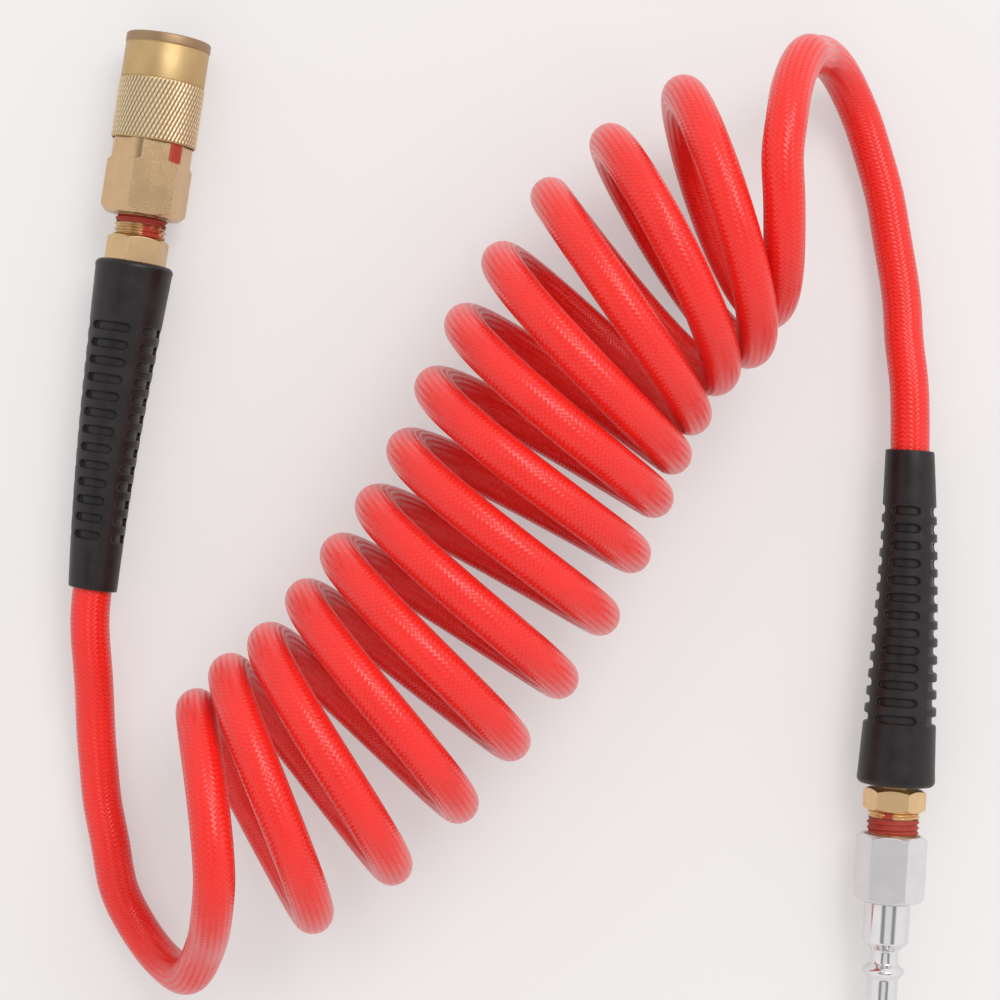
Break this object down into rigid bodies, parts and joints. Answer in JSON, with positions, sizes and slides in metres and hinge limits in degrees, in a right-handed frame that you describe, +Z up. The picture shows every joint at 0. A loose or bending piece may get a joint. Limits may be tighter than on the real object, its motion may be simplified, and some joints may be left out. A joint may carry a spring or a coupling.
{
  "type": "coiled_air_hose",
  "caption": "Coiled red air hose with black bend-relief boots, a brass quick coupler on one end and a swivelling steel plug on the other",
  "frame": {"origin": "on the table, under the middle of the box round the fittings and boots, the free hose left out", "axes": "+Z up from the table, +Y the way the coupler points, +X from the coupler side to the plug side"},
  "size_m": [0.2235, 0.2552, 0.0715],
  "materials": {
    "red_tube": "glossy clear-coated red polyurethane over a braided layer",
    "black_rubber": "satin moulded rubber",
    "brass": "satin machined brass",
    "bright_steel": "bright nickel-plated steel",
    "spring_steel": "drawn spring wire",
    "red_sealant": "dried thread sealant",
    "seal_rubber": "moulded nitrile rubber"
  },
  "bodies": {
    "root": {"coupler_boot": "black_rubber", "coupler_hose_stub": "red_tube", "coupler_ferrule": "brass", "fixed_hose_end": "brass", "coupler_thread_sealant": "red_sealant", "coupler_adapter": "brass", "coupler_barrel": "brass", "sleeve_retaining_ring": "spring_steel", "sleeve_spring": "spring_steel", "valve_spring": "spring_steel", "socket_seal": "seal_rubber", "hose_tail_coupler": "red_tube", "hose_coil": "red_tube"},
    "sleeve": {"coupler_sleeve": "brass"},
    "ball_1": {"locking_ball_1": "bright_steel"},
    "ball_2": {"locking_ball_2": "bright_steel"},
    "ball_3": {"locking_ball_3": "bright_steel"},
    "ball_4": {"locking_ball_4": "bright_steel"},
    "valve": {"valve_poppet": "brass"},
    "plug_end": {"hose_tail_plug": "red_tube", "plug_boot": "black_rubber", "plug_hose_stub": "red_tube", "plug_ferrule": "brass", "swivel_stem": "brass", "swivel_seal": "seal_rubber"},
    "swivel": {"swivel_nut": "brass", "swivel_clip": "spring_steel", "plug_thread_sealant": "red_sealant", "air_plug": "bright_steel"}
  },
  "joints": [
    {"name": "coil_stretch", "type": "slide", "parent": "root", "child": "plug_end", "axis": [0.6428, 0.766, 0], "range_m": [0, 0.8], "stiffness_N_per_m": 12, "deforming": ["hose_coil"]},
    {"name": "plug_swivel", "type": "hinge", "parent": "plug_end", "child": "swivel", "pos_m": [0.10038, -0.07251, 0.01], "axis": [-0.0645, -0.9979, 0], "continuous": true},
    {"name": "sleeve_slide", "type": "slide", "parent": "root", "child": "sleeve", "axis": [-0.1513, -0.9885, 0], "range_m": [0, 0.005], "stiffness_N_per_m": 1500, "springref_m": -0.004, "deforming": ["sleeve_spring"]},
    {"name": "ball_1_out", "type": "slide", "parent": "root", "child": "ball_1", "axis": [-0.9885, 0.1513, 0], "range_m": [0, 0.0018]},
    {"name": "ball_2_out", "type": "slide", "parent": "root", "child": "ball_2", "axis": [0, 0, 1], "range_m": [0, 0.0018]},
    {"name": "ball_3_out", "type": "slide", "parent": "root", "child": "ball_3", "axis": [0.9885, -0.1513, 0], "range_m": [0, 0.0018]},
    {"name": "ball_4_out", "type": "slide", "parent": "root", "child": "ball_4", "axis": [0, 0, -1], "range_m": [0, 0.0018]},
    {"name": "valve_open", "type": "slide", "parent": "root", "child": "valve", "axis": [-0.1513, -0.9885, 0], "range_m": [0, 0.004], "stiffness_N_per_m": 800, "springref_m": -0.004, "deforming": ["valve_spring"]}
  ],
  "couplings": [
    {"joint": "ball_1_out", "follows": "sleeve_slide", "ratio": 0.36},
    {"joint": "ball_2_out", "follows": "sleeve_slide", "ratio": 0.36},
    {"joint": "ball_3_out", "follows": "sleeve_slide", "ratio": 0.36},
    {"joint": "ball_4_out", "follows": "sleeve_slide", "ratio": 0.36}
  ]
}
